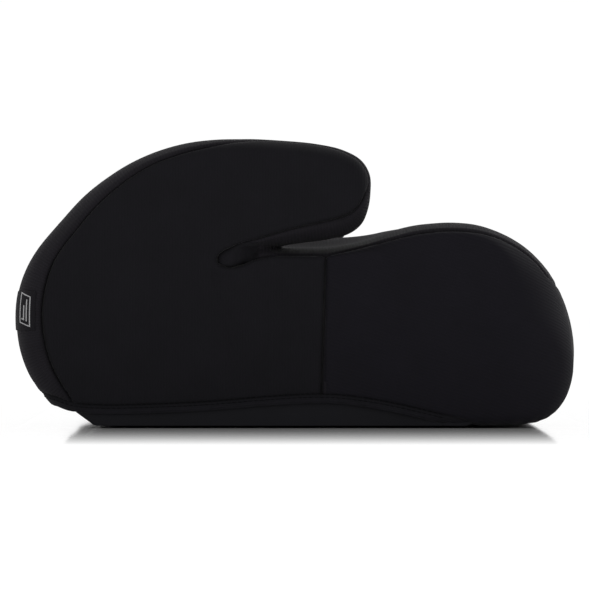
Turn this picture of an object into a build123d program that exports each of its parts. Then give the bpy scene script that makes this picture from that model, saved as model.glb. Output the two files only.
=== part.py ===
from build123d import *
import math
import os

# Backless child booster seat: a hollow plastic body under a fitted, sewn fabric cover.
# Frame: +X to the front of the seat, +Y to the child's left, +Z up; the origin is on the
# surface that the seat stands on, under the middle of its bounding box. Millimetres.

os.makedirs("parts", exist_ok=True)

# ------------------------------------------------------------------ driving dimensions
LENGTH = 415.0              # back of the armrests to the seat nose
WIDTH = 400.0               # over the armrests
ARM_INNER_Y = 145.0         # inner face of an armrest: 290 mm between the armrests
SEAT_Z = 137.0              # sitting surface
SHOULDER_Z = 122.5          # edge of the seat under the armrests, where the belt runs
LIP_Z = 153.0               # low rear lip between the armrests
ARM_TOP_Z = 206.5

COVER = 4.0                 # cover: knitted face on a foam backing
FOAM_GAP = 0.2              # between cover and foam, and between foam and plastic
PAD = 5.6                   # foam pad on the armrests and over the seat nose
WALL = 3.0                  # moulded polypropylene wall
HEM_H = 7.0                 # elastic binding along the lower edge of the cover
NOSE_R = 62.0               # front corners seen from above
BOW_R = 900.0               # front between those corners
BOW_ANGLE = math.radians(6)             # the front turns back this far on each side
BACK_R = 26.0               # rear corners seen from above

TRAY_Y = 195.5              # outer face of the base tray's side wall
TRAY_TOP = 45.0
FLOOR_Z = 1.5               # underside of the base tray; it stands on the rubber pads
LIP_X = 122.0               # the cover is folded under the front as far back as this
LIP_T = 3.5

HALF_L = LENGTH / 2
HALF_W = WIDTH / 2
BOW_TIP_X = HALF_L + BOW_R * (1 / math.cos(BOW_ANGLE) - 1)
BOW_SIDE_X = BOW_TIP_X - HALF_W * math.tan(BOW_ANGLE)
JACKET = COVER + FOAM_GAP               # outside of the foam, in from the cover's face
CORE = JACKET + PAD + FOAM_GAP          # outside of the plastic shells


# ------------------------------------------------------------------ helpers
def side_face(corners):
    """Closed face in the XZ plane from (x, z, corner radius) points."""
    path = FilletPolyline(
        *[(x, z) for x, z, _ in corners], radius=[r for _, _, r in corners], close=True
    )
    return make_face(Plane.XZ * path)


def sharp_face(points):
    """Closed face in the XZ plane with sharp corners."""
    return make_face(Plane.XZ * Polyline(*points, close=True))


def slab(face, y_from, y_to):
    """Extrude a face of the XZ plane between two Y planes."""
    return extrude(Pos(0, y_from, 0) * face, amount=y_to - y_from, dir=(0, 1, 0))


def cross_prism(half_profile):
    """Extrude a symmetric YZ profile, given as (y, z) points of its +Y half, along X."""
    mirrored = [(-y, z) for y, z in reversed(half_profile)]
    face = make_face(Plane.YZ * Polyline(*half_profile, *mirrored, close=True))
    return extrude(face, amount=LENGTH, both=True)


def inset(face, distance):
    return offset(face, amount=-distance)


def block(x, y, z):
    """Box between the given (low, high) limits."""
    size = [high - low for low, high in (x, y, z)]
    middle = [(high + low) / 2 for low, high in (x, y, z)]
    return Pos(*middle) * Box(*size)


def both_sides(name, right_part):
    """Write the right-hand part and its mirror image on the left."""
    save(name + "_right", right_part)
    save(name + "_left", mirror(right_part, about=Plane.XZ))


def save(name, shape):
    solids = shape.solids()
    shape = solids[0] if len(solids) == 1 else Compound(children=list(solids))
    shape.label = name
    export_step(shape, f"parts/{name}.step")


# ------------------------------------------------------------------ outlines
# Seen from above: straight back and sides, round corners, front bowed about its middle.
PLAN_OUTLINE = make_face(FilletPolyline(
    (-HALF_L, -HALF_W), (BOW_SIDE_X, -HALF_W), (BOW_TIP_X, 0), (BOW_SIDE_X, HALF_W),
    (-HALF_L, HALF_W), radius=[BACK_R, NOSE_R, BOW_R, NOSE_R, BACK_R], close=True,
))


def plan_prism(margin):
    """Vertical prism of the plan outline, drawn in by the margin."""
    face = inset(PLAN_OUTLINE, margin) if margin else PLAN_OUTLINE
    return extrude(Pos(0, 0, -20) * face, amount=260)


# Armrest with the side of the seat under it: hem, round back, level top, blunt nose,
# underside and the closed end of the belt slot.
ARM_OUTLINE = side_face([
    (-150, 0, 0), (-163, 9, 2), (-181, 14, 8), (-213, 80, 50), (-199, 113, 120),
    (-142, ARM_TOP_Z, 145), (-20, ARM_TOP_Z, 220), (46.5, 202, 28), (46.5, 138.5, 22),
    (-28, 128.5, 40), (-64, 124, 4.4), (-60, 114.5, 4.4), (-36, 118.5, 8),
    (-22, SHOULDER_Z, 8), (16, SHOULDER_Z, 0), (16, 0, 0),
])
# Seat through its middle: rear lip, flat sitting surface, raised thigh roll, round nose.
SEAT_OUTLINE = side_face([
    (-150, 0, 0), (-163, 9, 2), (-176, 14, 8), (-208, 66, 60), (-187, LIP_Z, 8),
    (-168, LIP_Z, 8), (-140, SEAT_Z, 40), (40, SEAT_Z, 80), (95, 148.5, 60),
    (142, 146, 45), (196, 110, 50), (209.5, 50, 60), (196, 0, 20),
])
# Space between the armrest's underside and the edge of the seat, open to the front.
SLOT_OUTLINE = side_face([
    (-64, 124, 4.4), (-28, 128.5, 40), (70, 144, 0), (70, SHOULDER_Z, 0),
    (-22, SHOULDER_Z, 8), (-36, 118.5, 8), (-60, 114.5, 4.4),
])
# Region in which the seat is broad: forward of the line that rises to the thigh roll.
BROAD_REGION = sharp_face([(14, -20), (14, SHOULDER_Z), (80, 138), (100, 160), (220, 160), (220, -20)])
# Upper edge of the side panels forward of the vertical seam, run on across the nose.
SEAM_LINE = [(14, 118.5), (80, 134), (100, 137), (121, 137), (133, 134.5), (158, 120), (180, 98), (220, 92)]
# Lower edge of the cover: level behind, arched in the middle, down to the floor in front.
HEM_LINE = [(-220, 9), (-165, 9.5), (-100, 10), (-40, 14), (15, 17.5), (60, 12), (106, -1)]


def seat_body(margin):
    """Seat without its armrests, drawn in from the cover's outer face by the margin."""
    face = inset(SEAT_OUTLINE, margin) if margin else SEAT_OUTLINE
    seat = slab(face, -HALF_W, HALF_W)
    slot_face = offset(SLOT_OUTLINE, amount=margin) if margin else SLOT_OUTLINE
    slot = slab(slot_face, -HALF_W - 1, -ARM_INNER_Y + 8 + margin)
    side_y, shoulder = HALF_W - margin, SHOULDER_Z - margin
    narrow = cross_prism([
        (111 - margin, 156), (138 - margin, shoulder), (side_y, shoulder), (side_y, -20),
    ])
    broad = cross_prism([(176 - margin, 156), (side_y, 136 - margin / 2), (side_y, -20)])
    region = inset(BROAD_REGION, margin) if margin else BROAD_REGION
    body = (seat & narrow) - slot - mirror(slot, about=Plane.XZ)
    body += seat & broad & slab(region, -HALF_W, HALF_W)
    return body & plan_prism(margin)


def arm_body(margin):
    """Right armrest and the side block under it, drawn in by the margin."""
    face = inset(ARM_OUTLINE, margin) if margin else ARM_OUTLINE
    return slab(face, -HALF_W + margin, -ARM_INNER_Y - margin) & plan_prism(margin)


def envelope(margin):
    """Whole covered body, drawn in from the cover's outer face by the given margin."""
    arm = arm_body(margin)
    return seat_body(margin) + arm + mirror(arm, about=Plane.XZ)


# ------------------------------------------------------------------ plastic body
TRAY_OUTLINE = [
    (-150, FLOOR_Z, 4), (114, FLOOR_Z, 1), (120, 4, 1), (171, 4, 14), (190, TRAY_TOP, 0),
    (196, 58, 0), (-195, 58, 0), (-186, TRAY_TOP, 0), (-163, 11, 3),
]
SHELL_OUTLINE = [
    (-158, 10, 0), (-171.5, 30, 0), (-182, TRAY_TOP, 8), (-191, 74, 30),
    (-187, 110, 12), (60, 110, 60), (100, 124, 50), (136, 124, 40),
    (184, 100, 40), (195, 60, 10), (185.5, TRAY_TOP, 8), (178, 30, 0), (164, 10, 0),
]
SHELL_NARROW_Y = 142.0      # seat shell between the armrest shells
SHELL_WIDE_X = 8.0          # and full width forward of this
SHELL_FOOT_Z = 30.0         # the seat shell stands on the tray's screw towers
ARM_FOOT_Z = 46.0
ARM_SPLIT_Y = 172.5         # joint between the inner and outer armrest shells
SHELL_SCREWS = [(x, y) for x in (-130, 0, 130) for y in (-90, 90)]
ARM_SCREWS = [(x, y) for x in (-135, -45) for y in (-163, 163)]
ARM_CLAMPS = [(-168, 78), (-132, 152), (-66, 183), (12, 178), (-30, 84)]   # (x, z), along Y
SPACERS = [(-125, 80), (-60, 80)]                                          # (x, z), along Y
PAD_PLACES = [(x, y) for x in (-115, 72) for y in (-135, 135)]
RIVET_PLACES = [(142, y) for y in (-110, -55, 0, 55, 110)]
SCREW_R, HEAD_R, HEAD_H = 2.0, 4.0, 2.6
HOLE_R, SINK_R = 2.1, 4.4               # screw holes and the counterbores for their heads
BASE_SCREW_L, ARM_SCREW_L, BOLT_L = 28.0, 26.0, 26.0
HEAD_SEAT = 8.0                         # a base screw's head stops this far under the joint
BOLT_R, BOLT_HOLE_R, SPACER_R = 3.0, 3.1, 8.0
ARM_FACE_GAP = CORE - 1                 # armrest shells' flat faces, in from the cover's
ARM_WALL = 2.8
RIVET_R, RIVET_HEAD_R = 2.5, 6.0


def post(x, y, z_from, z_to, radius):
    return Pos(x, y, (z_from + z_to) / 2) * Cylinder(radius, z_to - z_from)


def cross_post(x, z, y_from, y_to, radius):
    """Cylinder along Y."""
    return Pos(x, (y_from + y_to) / 2, z) * Rot(90, 0, 0) * Cylinder(radius, abs(y_to - y_from))


def open_tub(corners, half_width, margin, z_low, z_high):
    """Shell of even wall with the given side outline, kept between two heights."""
    face = side_face(corners)
    outer = slab(face, -half_width, half_width) & plan_prism(margin)
    inner_width = half_width - WALL
    inner = slab(inset(face, WALL), -inner_width, inner_width) & plan_prism(margin + WALL)
    keep = block((-HALF_L, HALF_L), (-HALF_W, HALF_W), (z_low, z_high))
    return (outer - inner) & keep, inner & keep


def base_tray():
    """Floor pan: rounded rim, raised channels, screw towers and recesses for the pads."""
    tray, _ = open_tub(TRAY_OUTLINE, TRAY_Y, COVER + 0.5, 0, TRAY_TOP)
    channel_w, channel_h = 14.0, 3.0
    runs = [((x - 7, x + 7), (-150, 150)) for x in (-90, -20, 50)]
    runs += [((-140, 104), (y - 7, y + 7)) for y in (-60, 60)]
    floor_top = FLOOR_Z + WALL
    for (x0, x1), (y0, y1) in runs:
        tray += block((x0 - WALL, x1 + WALL), (y0 - WALL, y1 + WALL), (FLOOR_Z, floor_top + channel_h))
    for (x0, x1), (y0, y1) in runs:
        tray -= block((x0, x1), (y0, y1), (FLOOR_Z - 1, FLOOR_Z + channel_h))
    towers = [(x, y, SHELL_FOOT_Z) for x, y in SHELL_SCREWS]
    towers += [(x, y, ARM_FOOT_Z) for x, y in ARM_SCREWS]
    for x, y, z_top in towers:
        tray += post(x, y, FLOOR_Z + WALL, z_top, 8)
    for x, y, z_top in towers:
        tray -= post(x, y, -1, z_top - HEAD_SEAT, SINK_R + 0.6) + post(x, y, 0, z_top + 1, HOLE_R)
    for x, y in PAD_PLACES:
        tray -= Pos(x, y, FLOOR_Z) * extrude(SlotOverall(54.4, 18.4), amount=1.5)
    for x, y in RIVET_PLACES:
        tray -= post(x, y, 0, 12, RIVET_R + 0.2)
    return tray


def seat_shell():
    """Upper moulding under the seat foam, with cross webs and long screw posts."""
    wide, wide_inside = open_tub(SHELL_OUTLINE, HALF_W - CORE, CORE, SHELL_FOOT_Z, 200)
    cut_x = block((SHELL_WIDE_X, HALF_L), (-HALF_W, HALF_W), (0, 200))
    between = block((-HALF_L, HALF_L), (-SHELL_NARROW_Y, SHELL_NARROW_Y), (0, 200))
    inside_y = SHELL_NARROW_Y - WALL
    side_walls = [
        block((-HALF_L, SHELL_WIDE_X + WALL), sorted((s * inside_y, s * SHELL_NARROW_Y)), (0, 200))
        for s in (-1, 1)
    ]
    steps = [
        block((SHELL_WIDE_X, SHELL_WIDE_X + WALL), sorted((s * inside_y, s * HALF_W)), (0, 200))
        for s in (-1, 1)
    ]
    shell = (wide & cut_x) + (wide & between)
    for wall in side_walls + steps:
        shell += wall & wide_inside
    web = 2.5
    for x in (-135, -75, -20, 60, 110):
        plate = block((x, x + web), (-inside_y, inside_y), (74, 200))
        shell += plate & wide_inside
    for x, y in SHELL_SCREWS:
        column = post(x, y, SHELL_FOOT_Z, 130, 7)
        shell += column & (wide_inside + wide)
    for x, y in SHELL_SCREWS:
        shell -= post(x, y, SHELL_FOOT_Z - 1, SHELL_FOOT_Z + 24, HOLE_R)
    for x, z in SPACERS:
        shell -= cross_post(x, z, -HALF_W, HALF_W, BOLT_HOLE_R)
    return shell


def arm_core():
    """Outside of the two armrest shells together, above their feet."""
    return inset(ARM_OUTLINE, CORE)


def armrest_shells():
    """Inner and outer half shells of the right armrest, with clamp bosses and feet."""
    face = arm_core()
    wall, gap = ARM_WALL, 0.1
    outer_y, inner_y = -HALF_W + ARM_FACE_GAP, -ARM_INNER_Y - ARM_FACE_GAP
    above = block((-HALF_L, HALF_L), (-HALF_W, HALF_W), (ARM_FOOT_Z, 220))
    plan, inner_plan = plan_prism(ARM_FACE_GAP), plan_prism(ARM_FACE_GAP + wall)
    hollow = slab(inset(face, wall), outer_y + wall, inner_y - wall) & inner_plan
    whole = (slab(face, outer_y, inner_y) & plan) - hollow
    half_outer = whole & block((-HALF_L, HALF_L), (-HALF_W, -ARM_SPLIT_Y - gap), (0, 220))
    half_inner = whole & block((-HALF_L, HALF_L), (-ARM_SPLIT_Y + gap, 0), (0, 220))
    for x, z in ARM_CLAMPS:
        half_outer += cross_post(x, z, outer_y + wall, -ARM_SPLIT_Y - gap, 5)
        half_inner += cross_post(x, z, -ARM_SPLIT_Y + gap, inner_y, 6)
    for x, z in ARM_CLAMPS:
        half_outer -= cross_post(x, z, outer_y + wall + 1, -ARM_SPLIT_Y, HOLE_R)
        half_inner -= cross_post(x, z, -ARM_SPLIT_Y, inner_y + 1, HOLE_R)
        half_inner -= cross_post(x, z, inner_y - 3, inner_y + 1, SINK_R)
    for x, y in ARM_SCREWS[::2]:
        half_inner += post(x, y, ARM_FOOT_Z, ARM_FOOT_Z + 26, 7)
        half_inner -= post(x, y, ARM_FOOT_Z - 1, ARM_FOOT_Z + 22, HOLE_R)
    for x, z in SPACERS:
        half_inner += cross_post(x, z, inner_y - 14, -SHELL_NARROW_Y - 0.2, SPACER_R)
        half_inner -= cross_post(x, z, inner_y - 15, -SHELL_NARROW_Y, BOLT_HOLE_R)
    return half_outer & above, half_inner & above


# ------------------------------------------------------------------ fasteners and feet
def screw_up(x, y, z_head, length):
    """Cross-slotted pan-head screw driven upwards from below."""
    screw = post(x, y, z_head - HEAD_H, z_head, HEAD_R) + post(x, y, z_head, z_head + length, SCREW_R)
    drive = Box(5, 1, 2) + Box(1, 5, 2)
    return screw - Pos(x, y, z_head - HEAD_H) * drive


def base_screws():
    screws = [screw_up(x, y, SHELL_FOOT_Z - HEAD_SEAT, BASE_SCREW_L) for x, y in SHELL_SCREWS]
    screws += [screw_up(x, y, ARM_FOOT_Z - HEAD_SEAT, BASE_SCREW_L) for x, y in ARM_SCREWS]
    return Compound(children=screws)


def armrest_screws():
    head_y = ARM_INNER_Y + ARM_FACE_GAP + 3
    screws = []
    for side in (-1, 1):
        for x, z in ARM_CLAMPS:
            screw = cross_post(x, z, side * (head_y - HEAD_H), side * head_y, HEAD_R)
            screw += cross_post(x, z, side * head_y, side * (head_y + ARM_SCREW_L), SCREW_R)
            screws.append(screw)
    return Compound(children=screws)


def armrest_bolts():
    """Hexagon bolts from inside the seat shell, through the spacers of the armrests."""
    head_y, head_h = -SHELL_NARROW_Y + WALL, 4.0
    hexagon = extrude(Plane.XZ * RegularPolygon(5.8, 6), amount=head_h)
    right = [
        Pos(x, head_y + head_h, z) * hexagon + cross_post(x, z, head_y - BOLT_L, head_y, BOLT_R)
        for x, z in SPACERS
    ]
    return Compound(children=right + [mirror(bolt, about=Plane.XZ) for bolt in right])


def anti_slip_pads():
    pads = []
    for x, y in PAD_PLACES:
        pad = extrude(SlotOverall(54, 18), amount=FLOOR_Z + 1.4)
        for step in (-18, -9, 0, 9, 18):
            pad -= Pos(step, 0, 0.3) * Box(2.4, 30, 0.8)
        pads.append(Pos(x, y, 0) * pad)
    return Compound(children=pads)


def cover_rivets():
    """Push-in rivets that pin the folded lip of the cover under the tray."""
    return Compound(children=[
        post(x, y, 0.4, 1.6, RIVET_HEAD_R) + post(x, y, 1.6, 9.4, RIVET_R) for x, y in RIVET_PLACES
    ])


# ------------------------------------------------------------------ foam
def armrest_foam():
    """Padding jacket over the right armrest shells, open below."""
    jacket = arm_body(JACKET) - (slab(arm_core(), -HALF_W + CORE - 1.2, -ARM_INNER_Y - CORE + 1.2))
    open_below = [(-230, -5), (-230, 60), (-6, 60), (-6, 113), (7, 113), (7, 122), (40, 122), (40, -5)]
    jacket -= slab(sharp_face(open_below), -HALF_W, 0)
    return jacket - block((-HALF_L, HALF_L), (-ARM_INNER_Y - CORE + 0.8, 0), (0, 113))


def seat_foam():
    """Moulded pad: sitting surface, thigh roll and the wrap over the nose."""
    over_deck = block((-HALF_L, SHELL_WIDE_X), (-141, 141), (110.2, 200))
    in_front = block((SHELL_WIDE_X, HALF_L), (-HALF_W, HALF_W), (47, 200))
    shell_face = offset(side_face(SHELL_OUTLINE), amount=FOAM_GAP)
    margin = CORE - FOAM_GAP
    shell = slab(shell_face, -HALF_W + margin, HALF_W - margin) & plan_prism(margin)
    return (seat_body(JACKET) & (over_deck + in_front)) - shell


# ------------------------------------------------------------------ cover
def cover_skin():
    """The whole cover as one skin, open underneath behind its folded front lip."""
    mouth = block((-166, LIP_X), (-HALF_W + COVER, HALF_W - COVER), (-5, 30))
    lip = block((LIP_X - 1, HALF_L), (-HALF_W, HALF_W), (-5, LIP_T))
    inner = (envelope(COVER) - lip) + mouth
    below_hem = sharp_face(HEM_LINE + [(106, -5), (-220, -5)])
    return envelope(0) - inner - slab(below_hem, -HALF_W - 1, HALF_W + 1)


def panels(skin):
    """Cut the skin along its seams; returns the pieces by name, the right side only."""
    across = (-HALF_W - 1, HALF_W + 1)
    outer_y, band_y = -HALF_W + COVER, -ARM_INNER_Y - COVER
    top = 215

    hem_top = [(x, z + HEM_H) for x, z in HEM_LINE]
    hem_zone = slab(sharp_face(hem_top + [(113, -5), (-220, -5)]), *across)
    hem = skin & hem_zone
    upper = skin - hem_zone

    ahead = slab(sharp_face([(11.5, -5), (16, SHOULDER_Z), (16, top), (220, top), (220, -5)]), *across)
    over_seam = slab(sharp_face(SEAM_LINE + [(220, top), (14, top)]), *across)
    under_nose = sharp_face([
        (-66, 100), (-66, 119.5), (-30, 124.5), (62, 137.5), (62, 170), (220, 170), (220, 80), (-66, 80),
    ])
    shoulder = slab(under_nose, *across)
    gusset_zone = slab(sharp_face([(-74, 106), (-74, 133), (-42, 135), (-42, 106)]), outer_y, band_y)

    middle = block((-HALF_L, HALF_L), (-ARM_INNER_Y, ARM_INNER_Y), (0, top))
    rear_x = -177.5                                   # seam along the top of the rear lip
    rear = block((-HALF_L - 1, rear_x), (-ARM_INNER_Y, ARM_INNER_Y), (0, top))
    above_deck = block((rear_x, HALF_L), across, (85, top))

    right = upper & block((-HALF_L - 1, HALF_L + 1), (-HALF_W - 1, 0), (-5, top))
    plate = block((-HALF_L - 1, 62), (-HALF_W - 1, outer_y), (-5, top))
    ring = block((-HALF_L - 1, 62), (outer_y, band_y), (-5, top))
    inner_plate = block((-HALF_L - 1, 62), (band_y, -ARM_INNER_Y), (-5, top))

    front_wrap = (upper & ahead) - over_seam
    side = (right & plate) - (ahead & shoulder)
    side -= front_wrap
    gusset = right & gusset_zone
    band = (right & ring) - shoulder - gusset_zone - front_wrap
    inner = (right & inner_plate) - shoulder - front_wrap
    seat_top = (upper & above_deck & (middle + shoulder)) - front_wrap
    for part in (side, band, inner, gusset):
        seat_top = seat_top - part - mirror(part, about=Plane.XZ)
    back = upper & rear
    return {
        "cover_side": side, "cover_armrest_band": band, "cover_armrest_inner": inner,
        "slot_gusset": gusset, "cover_front_wrap": front_wrap, "cover_seat_top": seat_top,
        "cover_back": back, "hem_elastic": hem,
    }


def label(face_depth):
    """Woven label wrapped round the rear outer corner of the right armrest."""
    arm = slab(ARM_OUTLINE, -HALF_W, -ARM_INNER_Y) & plan_prism(0)
    under = slab(inset(ARM_OUTLINE, face_depth), -HALF_W, -ARM_INNER_Y) & plan_prism(face_depth)
    return (arm - under) & block((-HALF_L - 1, -160), (-HALF_W + COVER + 0.5, -162), (70, 98))


# ------------------------------------------------------------------ build
PAIRED = ("cover_side", "cover_armrest_band", "cover_armrest_inner", "slot_gusset")

save("base_tray", base_tray())
save("seat_shell", seat_shell())
outer_half, inner_half = armrest_shells()
both_sides("armrest_outer_shell", outer_half)
both_sides("armrest_inner_shell", inner_half)
save("base_screws", base_screws())
save("armrest_screws", armrest_screws())
save("armrest_bolts", armrest_bolts())
save("anti_slip_pads", anti_slip_pads())
save("cover_rivets", cover_rivets())
both_sides("armrest_foam", armrest_foam())
save("seat_foam", seat_foam())

woven_label = label(0.8)
save("label", woven_label)
for name, piece in panels(cover_skin()).items():
    if name == "cover_front_wrap":
        for x, y in RIVET_PLACES:
            piece -= post(x, y, -1, 2.0, RIVET_HEAD_R + 0.4) + post(x, y, -1, 6, RIVET_R + 0.2)
    if name in PAIRED:
        save(name + "_left", mirror(piece, about=Plane.XZ))
        save(name + "_right", piece - woven_label)
    else:
        save(name, piece)
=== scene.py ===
import math

import bpy
import numpy as np
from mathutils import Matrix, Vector


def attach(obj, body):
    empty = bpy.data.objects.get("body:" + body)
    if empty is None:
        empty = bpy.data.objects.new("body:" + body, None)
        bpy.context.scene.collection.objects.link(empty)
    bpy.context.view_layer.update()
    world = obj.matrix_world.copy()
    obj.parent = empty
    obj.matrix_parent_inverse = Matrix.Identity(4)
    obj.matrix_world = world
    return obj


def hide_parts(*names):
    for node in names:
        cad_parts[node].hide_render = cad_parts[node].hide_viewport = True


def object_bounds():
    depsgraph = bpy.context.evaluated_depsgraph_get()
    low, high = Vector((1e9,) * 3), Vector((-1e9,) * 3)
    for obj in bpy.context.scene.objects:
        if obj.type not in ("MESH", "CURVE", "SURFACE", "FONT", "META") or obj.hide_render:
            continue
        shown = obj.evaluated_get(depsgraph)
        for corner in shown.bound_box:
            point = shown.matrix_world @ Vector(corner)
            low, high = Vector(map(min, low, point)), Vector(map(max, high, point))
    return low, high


# A backless booster seat: sewn knitted cover over a moulded body. The cover is one smooth
# implicit surface, meshed, cut along its seams into panels and shaped at each seam.
# Everything is worked out in millimetres in the row's frame and written in metres.

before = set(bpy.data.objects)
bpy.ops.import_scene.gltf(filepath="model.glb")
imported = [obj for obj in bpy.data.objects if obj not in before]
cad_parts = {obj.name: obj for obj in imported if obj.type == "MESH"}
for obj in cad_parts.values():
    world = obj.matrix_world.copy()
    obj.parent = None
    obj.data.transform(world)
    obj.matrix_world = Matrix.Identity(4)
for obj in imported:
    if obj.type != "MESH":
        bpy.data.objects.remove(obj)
cad_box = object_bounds()
MM = 0.001

# ---------------------------------------------------------------- sizes (mm)
STEP = 2.0       # pitch of the surface mesh
HALF_W = cad_box[1].y / MM              # outer faces of the armrests
ARM_MID_Y = 172.5                       # middle of an armrest's thickness
ARM_HALF_T = 27.5
CROWN = 1.6                             # how far the faces swell in their middle
BOW_R = 1000.0                          # front face, seen from above
NOSE_PLAN_R = 70.0                      # front corners, seen from above
NOSE_CENTRE_X = 142.0
SLOT_X, SLOT_Z = -49.0, 120.5           # middle of the gusset that closes the belt slot
SLOT_END_X = -34.0                      # its front end
SLOT_TILT = math.radians(16)
HEM_W = 6.3                             # width of the hem elastic
BACK_Y = 150.0                          # seams down the back
LIP_SEAM_X = -180.0                     # seam along the rear lip
SEAM_OFFSETS = (-1.3, 1.3, -3.2, 3.2)   # extra mesh lines beside each seam
CLOTH_T = 2.2


# ---------------------------------------------------------------- outlines (x, z)
# Armrest and side block: up the round back, over the top, round the nose, back along the
# underside to the closed end of the belt slot, then through the inside of the seat.
ARM_POINTS = [
    (-166, 3), (-178, 11.5), (-187.6, 21.5), (-198, 36), (-204.8, 54), (-207.4, 74), (-206.2, 94),
    (-201, 111), (-192, 127.5), (-176.2, 147), (-159, 165.3), (-141, 179.3), (-124, 190),
    (-106, 198), (-86, 203.4), (-64, 206), (-40, 206.4), (-15, 205.3), (8, 203), (27, 198.6),
    (40.3, 191.3), (46.3, 181.5), (47.3, 169), (45.7, 156.4), (41.2, 145.6), (32.5, 138.6),
    (18, 134.8), (-4, 132), (-25, 128.8), (-45, 125.8), (-57, 123.2), (-62, 118), (-62, 108), (-52, 84),
    (-30, 60), (-30, 30), (-60, 12), (-110, 3),
]
# Seat through its middle: back wall, rear lip, level seat, thigh roll, nose, underside.
SEAT_POINTS = [
    (-150, 2), (-166, 6), (-178, 14), (-188, 30), (-196, 50), (-199.5, 72), (-198.5, 96),
    (-194.5, 118), (-190, 138), (-185, 149), (-176, 153), (-164, 149.5), (-150, 142.5),
    (-132, 138.6), (-100, 137.2), (-50, 137), (0, 136.9), (28, 137.2), (42, 138), (53, 139.4),
    (64, 141.6), (79, 143.9), (95, 145.6), (118, 147), (138, 145.2), (155, 139.3), (170.6, 129.8),
    (182.8, 118), (191.5, 106), (197.6, 94), (202, 82), (205.4, 69), (207.2, 54), (205.6, 41),
    (200.4, 29), (192.6, 17.6), (182.4, 8.2), (171, 3.4), (152, 1.4), (120, 1.2), (40, 1.2),
    (-60, 1.2), (-120, 1.4),
]
# Sewn edge of the side panel: round the armrest, round the end of the slot, along the edge
# of the seat and down the vertical seam. The last points lie below the hem.
SIDE_SEAM = [
    (-160, -12), (-162, 8), (-167, 19), (-180, 42), (-187, 69), (-187, 91), (-179.8, 118),
    (-161.5, 143.5), (-146, 161), (-128, 176), (-110, 187.2), (-96, 193), (-82, 197.6), (-66, 201.2),
    (-50, 203.6), (-32, 205), (-12, 204.3), (9, 201.9), (26, 197.4), (38.6, 190.2), (44.8, 181),
    (45.2, 171.5), (41.8, 163), (35.5, 155.2), (27, 150.6), (15.5, 147.3), (-2, 143.4), (-20, 138.6),
    (-38, 132.9), (-52, 127.8), (-60, 123.6), (-62, 120),
    (-60, 116.2), (-54, 115), (-45, 117), (-37, 120.6), (-28, 122.6), (-11, 123), (6, 122.9),
]
SIDE_SEAM_STRAIGHT = [(14.5, 122.6), (11.5, 25), (10.5, -12)]
# Edge of the seat-top panel: from the vertical seam up over the thigh roll, down the
# shoulder and across the nose.
TOP_SEAM = [
    (14.5, 122.6), (30, 126), (43.5, 129.3), (60, 134), (78, 138.4), (96, 140.6), (110, 140.8),
    (122, 139.6), (133, 137.2), (145, 132.4), (158, 125), (168, 116.6), (174.5, 109), (183, 103),
    (196, 99.5), (215, 98), (240, 98),
]
# Lower edge of the cover: level behind, arched under the slot, down to the floor in front.
HEM_POINTS = [
    (-240, 18), (-196, 17.6), (-186, 16.8), (-178, 14.8), (-168, 11.8), (-150, 10), (-100, 10.8),
    (-60, 13), (-30, 15.6), (5, 17.6), (25, 17), (50, 13.6), (75, 8.4), (95, 3.6), (110, 0),
    (122, -6), (240, -6),
]


def spline(points, closed, per_span=8):
    """Centripetal Catmull-Rom curve through the points, as a polyline."""
    p = np.array(points, float)
    if closed:
        p = np.vstack([p[-1:], p, p[:2]])
    else:
        p = np.vstack([2 * p[:1] - p[1:2], p, 2 * p[-1:] - p[-2:-1]])
    t = np.concatenate([[0], np.cumsum(np.linalg.norm(np.diff(p, axis=0), axis=1) ** 0.5)])
    out = []
    for i in range(1, len(p) - 2):
        s = np.linspace(t[i], t[i + 1], per_span, endpoint=False)[:, None]
        a = [((t[i + k + 1] - s) * p[i + k] + (s - t[i + k]) * p[i + k + 1]) / (t[i + k + 1] - t[i + k])
             for k in (-1, 0, 1)]
        b = [((t[i + k + 1] - s) * a[k] + (s - t[i + k - 1]) * a[k + 1]) / (t[i + k + 1] - t[i + k - 1])
             for k in (0, 1)]
        out.append(((t[i + 1] - s) * b[0] + (s - t[i]) * b[1]) / (t[i + 1] - t[i]))
    out = np.vstack(out)
    return out if closed else np.vstack([out, p[-2]])


def line_distance(curve, closed, x, z):
    """Distance to a polyline, and the side of it (positive to the right) when it is open."""
    a = curve if closed else curve[:-1]
    b = np.roll(curve, -1, axis=0) if closed else curve[1:]
    ab = b - a
    length2 = (ab ** 2).sum(1)
    best = np.full(x.shape, 1e9)
    side = np.zeros(x.shape)
    for i in range(len(a)):
        px, pz = x - a[i, 0], z - a[i, 1]
        t = np.clip((px * ab[i, 0] + pz * ab[i, 1]) / length2[i], 0, 1)
        dx, dz = px - t * ab[i, 0], pz - t * ab[i, 1]
        d = dx * dx + dz * dz
        near = d < best
        best[near] = d[near]
        side[near] = (px * ab[i, 1] - pz * ab[i, 0])[near]
    return np.sqrt(best), np.sign(side)


def inside(curve, x, z):
    """True inside a closed polyline."""
    a, b = curve, np.roll(curve, -1, axis=0)
    odd = np.zeros(x.shape, bool)
    for (ax, az), (bx, bz) in zip(a, b):
        if az == bz:
            continue
        crosses = ((az > z) != (bz > z)) & (x < (bx - ax) * (z - az) / (bz - az) + ax)
        odd ^= crosses
    return odd


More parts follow.
